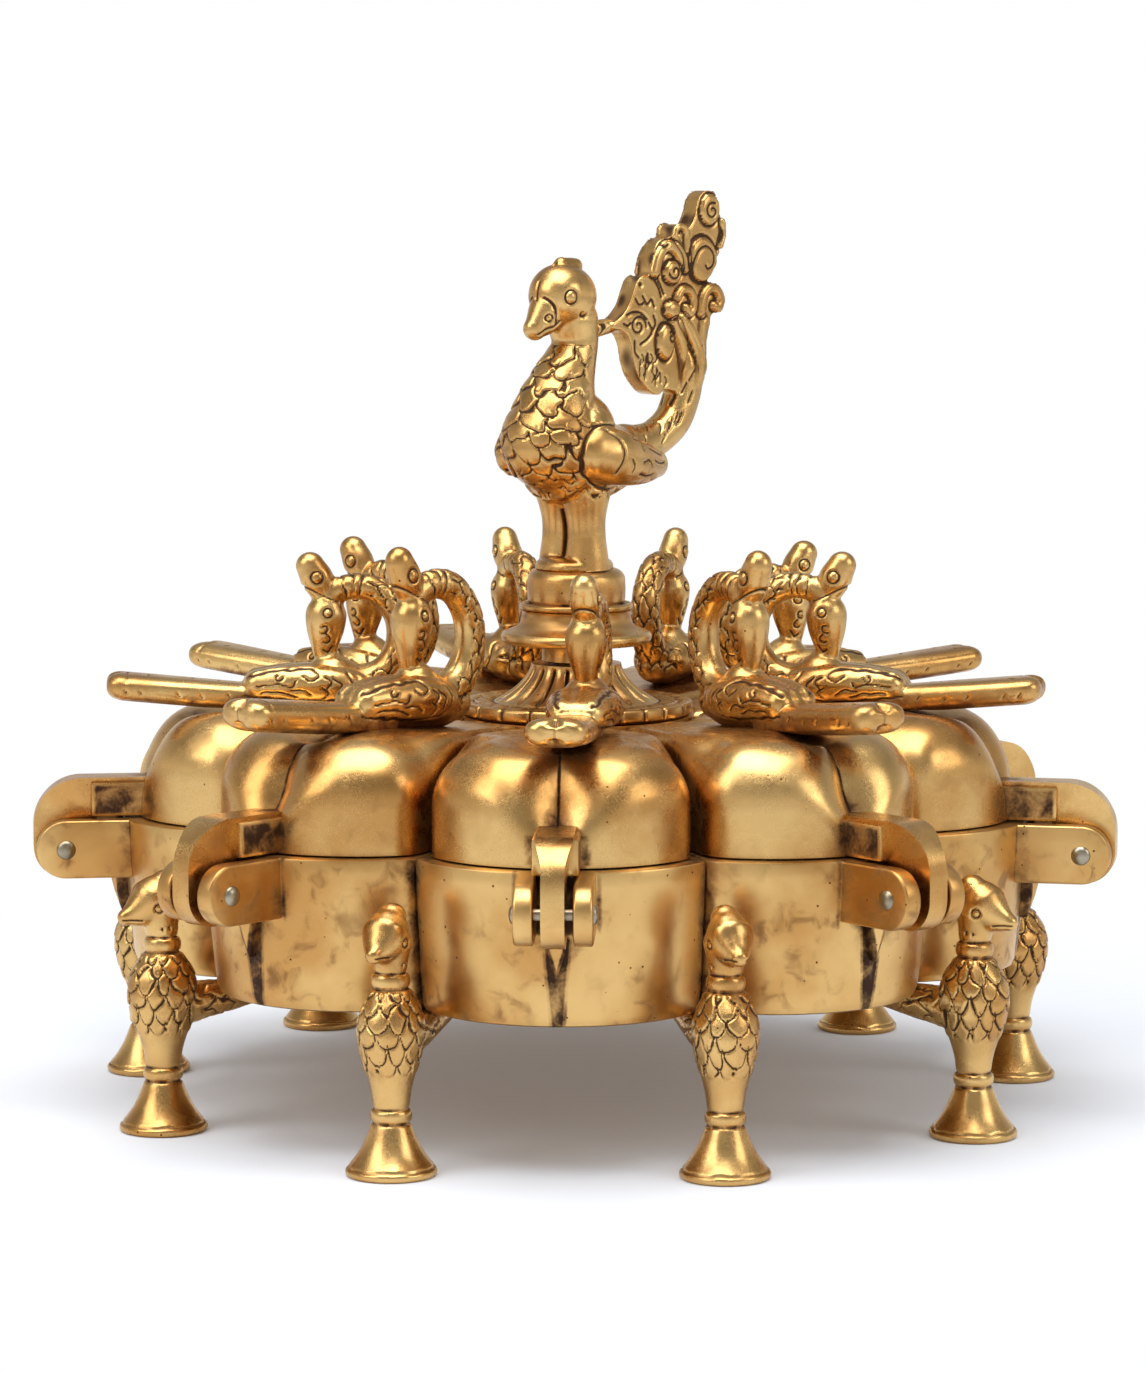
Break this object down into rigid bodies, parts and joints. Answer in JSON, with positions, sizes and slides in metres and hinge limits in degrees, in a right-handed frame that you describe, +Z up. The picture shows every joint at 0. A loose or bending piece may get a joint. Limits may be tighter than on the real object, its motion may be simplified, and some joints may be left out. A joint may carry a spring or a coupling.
{
  "type": "kumkum box",
  "caption": "Footed brass box with a ring of petal cups, each under its own hinged lid with a bird, round a screwed peacock finial.",
  "frame": {"origin": "on the table under the middle of the box", "axes": "+Z up; the first petal, its hinge and its bird's tail point to -Y; petals are numbered anticlockwise from above"},
  "size_m": [0.2252, 0.2222, 0.1891],
  "materials": {
    "cast_brass": "cast, hand filed, with dark patina in corners",
    "lid_brass": "cast, rubbed bright on the domes, dark in the creases",
    "carved_brass": "cast and engraved with feathers, black in the cuts",
    "turned_brass": "turned, polished on the edges",
    "pin_metal": "peened and dull"
  },
  "bodies": {
    "box": {"petal_cup_1": "cast_brass", "petal_cup_2": "cast_brass", "petal_cup_3": "cast_brass", "petal_cup_4": "cast_brass", "petal_cup_5": "cast_brass", "petal_cup_6": "cast_brass", "petal_cup_7": "cast_brass", "petal_cup_8": "cast_brass", "petal_cup_9": "cast_brass", "leg_1": "carved_brass", "leg_2": "carved_brass", "leg_3": "carved_brass", "leg_4": "carved_brass", "leg_5": "carved_brass", "leg_6": "carved_brass", "leg_7": "carved_brass", "leg_8": "carved_brass", "leg_9": "carved_brass", "hinge_pins": "pin_metal", "hub_drum": "cast_brass", "hub_base": "cast_brass", "centre_stud": "cast_brass", "stud_nut": "cast_brass"},
    "petal_lid_1": {"lid_1": "lid_brass", "lid_bird_1": "carved_brass"},
    "petal_lid_2": {"lid_2": "lid_brass", "lid_bird_2": "carved_brass"},
    "petal_lid_3": {"lid_3": "lid_brass", "lid_bird_3": "carved_brass"},
    "petal_lid_4": {"lid_4": "lid_brass", "lid_bird_4": "carved_brass"},
    "petal_lid_5": {"lid_5": "lid_brass", "lid_bird_5": "carved_brass"},
    "petal_lid_6": {"lid_6": "lid_brass", "lid_bird_6": "carved_brass"},
    "petal_lid_7": {"lid_7": "lid_brass", "lid_bird_7": "carved_brass"},
    "petal_lid_8": {"lid_8": "lid_brass", "lid_bird_8": "carved_brass"},
    "petal_lid_9": {"lid_9": "lid_brass", "lid_bird_9": "carved_brass"},
    "finial_bell": {"bell": "turned_brass"},
    "finial": {"pedestal": "turned_brass", "peacock": "carved_brass"}
  },
  "joints": [
    {"name": "lid_hinge_1", "type": "hinge", "parent": "box", "child": "petal_lid_1", "pos_m": [0, -0.107, 0.0539], "axis": [1, 0, 0], "range_deg": [0, 165]},
    {"name": "lid_hinge_2", "type": "hinge", "parent": "box", "child": "petal_lid_2", "pos_m": [0.06878, -0.08197, 0.0539], "axis": [0.766, 0.6428, 0], "range_deg": [0, 165]},
    {"name": "lid_hinge_3", "type": "hinge", "parent": "box", "child": "petal_lid_3", "pos_m": [0.10537, -0.01858, 0.0539], "axis": [0.1736, 0.9848, 0], "range_deg": [0, 165]},
    {"name": "lid_hinge_4", "type": "hinge", "parent": "box", "child": "petal_lid_4", "pos_m": [0.09266, 0.0535, 0.0539], "axis": [-0.5, 0.866, 0], "range_deg": [0, 165]},
    {"name": "lid_hinge_5", "type": "hinge", "parent": "box", "child": "petal_lid_5", "pos_m": [0.0366, 0.10055, 0.0539], "axis": [-0.9397, 0.342, 0], "range_deg": [0, 165]},
    {"name": "lid_hinge_6", "type": "hinge", "parent": "box", "child": "petal_lid_6", "pos_m": [-0.0366, 0.10055, 0.0539], "axis": [-0.9397, -0.342, 0], "range_deg": [0, 165]},
    {"name": "lid_hinge_7", "type": "hinge", "parent": "box", "child": "petal_lid_7", "pos_m": [-0.09266, 0.0535, 0.0539], "axis": [-0.5, -0.866, 0], "range_deg": [0, 165]},
    {"name": "lid_hinge_8", "type": "hinge", "parent": "box", "child": "petal_lid_8", "pos_m": [-0.10537, -0.01858, 0.0539], "axis": [0.1736, -0.9848, 0], "range_deg": [0, 165]},
    {"name": "lid_hinge_9", "type": "hinge", "parent": "box", "child": "petal_lid_9", "pos_m": [-0.06878, -0.08197, 0.0539], "axis": [0.766, -0.6428, 0], "range_deg": [0, 165]},
    {"name": "finial_lift", "type": "slide", "parent": "box", "child": "finial_bell", "axis": [0, 0, 1], "range_m": [0, 0.012]},
    {"name": "finial_turn", "type": "hinge", "parent": "finial_bell", "child": "finial", "pos_m": [0, 0, 0.1], "axis": [0, 0, 1], "range_deg": [0, 2880]}
  ],
  "couplings": [
    {"joint": "finial_turn", "follows": "finial_lift", "rad_per_m": 4188.8}
  ]
}
